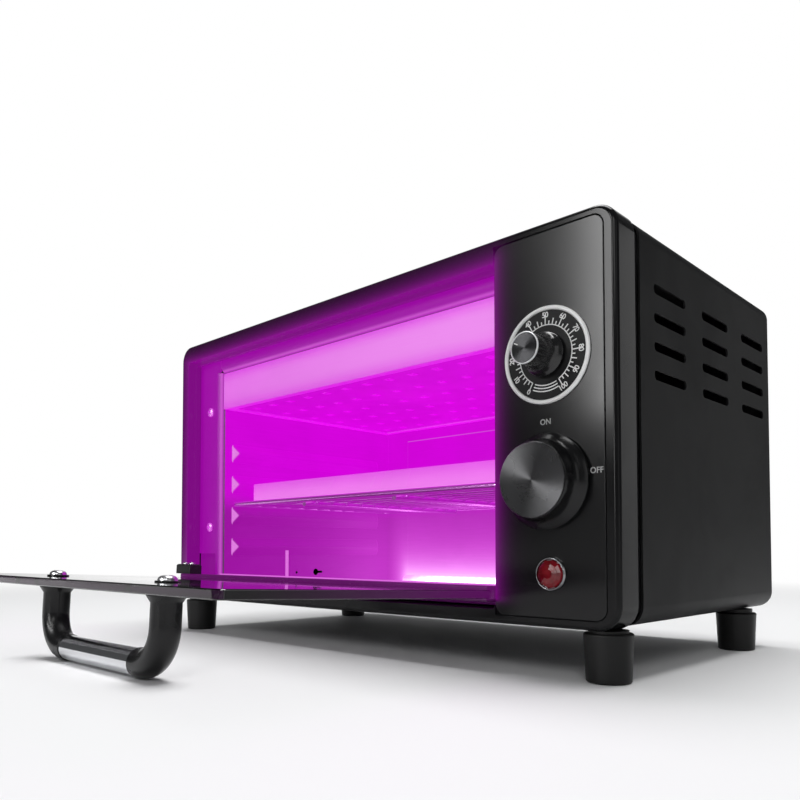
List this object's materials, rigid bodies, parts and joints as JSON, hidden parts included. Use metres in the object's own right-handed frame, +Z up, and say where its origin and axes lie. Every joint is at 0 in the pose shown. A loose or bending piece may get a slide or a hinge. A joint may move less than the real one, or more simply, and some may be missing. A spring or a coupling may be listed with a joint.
{
  "type": "uv post-curing unit",
  "caption": "Bench-top ultraviolet post-curing oven: black box on feet, drop-down glass door, lit chamber with rack and tray, and a column of dials.",
  "frame": {"origin": "on the table, under the middle of the plan outline with the door open", "axes": "+X to the right seen from the front, +Y from the front to the back, +Z up"},
  "size_m": [0.36, 0.3659, 0.2129],
  "materials": {
    "gloss_black": "gloss",
    "black_plastic": "satin",
    "black_paint": "satin",
    "liner_steel": "satin",
    "white_plastic": "matte",
    "turned_aluminium": "turned",
    "heat_sink_aluminium": "satin",
    "chrome": "polished",
    "steel_fixings": "satin",
    "red_lens": "gloss",
    "dark_glass": "gloss",
    "black_rail": "satin",
    "tray_steel": "satin",
    "board": "satin",
    "chip": "gloss",
    "lamp_diffuser": "gloss",
    "wire": "satin",
    "rubber": "matte"
  },
  "bodies": {
    "oven": {"front_bezel": "gloss_black", "bezel_screws": "steel_fixings", "control_panel": "gloss_black", "dial_plate": "black_plastic", "dial_ring": "white_plastic", "timer_body": "black_plastic", "timer_screws": "steel_fixings", "switch_body": "black_plastic", "switch_nut": "steel_fixings", "indicator_lens": "red_lens", "indicator_ring": "chrome", "indicator_body": "black_plastic", "front_frame": "black_paint", "liner_left": "liner_steel", "liner_right": "liner_steel", "runners_left": "liner_steel", "runners_right": "liner_steel", "liner_floor": "liner_steel", "liner_ceiling": "liner_steel", "liner_back": "liner_steel", "flange_screws": "steel_fixings", "lamp_housing": "liner_steel", "led_board": "board", "led_chips": "chip", "heat_sink": "heat_sink_aluminium", "lower_lamp": "lamp_diffuser", "outer_case": "black_paint", "rear_panel": "black_paint", "rear_screws": "steel_fixings", "base_pan": "black_paint", "cable_gland": "black_plastic", "gland_nut": "black_plastic", "led_driver": "turned_aluminium", "terminal_block": "white_plastic", "wiring": "wire", "foot_screws": "steel_fixings", "hinge_pin_left": "steel_fixings", "hinge_pin_right": "steel_fixings", "foot_front_left": "rubber", "foot_front_right": "rubber", "foot_rear_left": "rubber", "foot_rear_right": "rubber"},
    "door": {"door_glass": "dark_glass", "hinge_rail": "black_rail", "stop_bracket": "black_rail", "stop_screws": "steel_fixings", "handle_leg_left": "black_plastic", "handle_leg_right": "black_plastic", "handle_grip": "chrome", "handle_washers": "rubber", "handle_screws": "steel_fixings"},
    "timer": {"timer_shaft": "steel_fixings", "timer_knob": "black_plastic", "timer_knob_cap": "turned_aluminium"},
    "switch": {"switch_shaft": "steel_fixings", "switch_knob": "black_plastic", "switch_knob_cap": "turned_aluminium"},
    "rack": {"wire_rack": "chrome"},
    "tray": {"curing_tray": "tray_steel"}
  },
  "joints": [
    {"name": "door_hinge", "type": "hinge", "parent": "oven", "child": "door", "pos_m": [0, -0.02295, 0.0387], "axis": [1, 0, 0], "range_deg": [-87.6, 0]},
    {"name": "timer_turn", "type": "hinge", "parent": "oven", "child": "timer", "pos_m": [0.1443, -0.02695, 0.1496], "axis": [0, 1, 0], "range_deg": [-90, 210]},
    {"name": "switch_turn", "type": "hinge", "parent": "oven", "child": "switch", "pos_m": [0.1443, -0.02695, 0.0907], "axis": [0, 1, 0], "range_deg": [0, 90]},
    {"name": "rack_slide", "type": "slide", "parent": "oven", "child": "rack", "axis": [0, -1, 0], "range_m": [0, 0.12]},
    {"name": "tray_lift", "type": "slide", "parent": "rack", "child": "tray", "axis": [0, 0, 1], "range_m": [0, 0.04]}
  ]
}
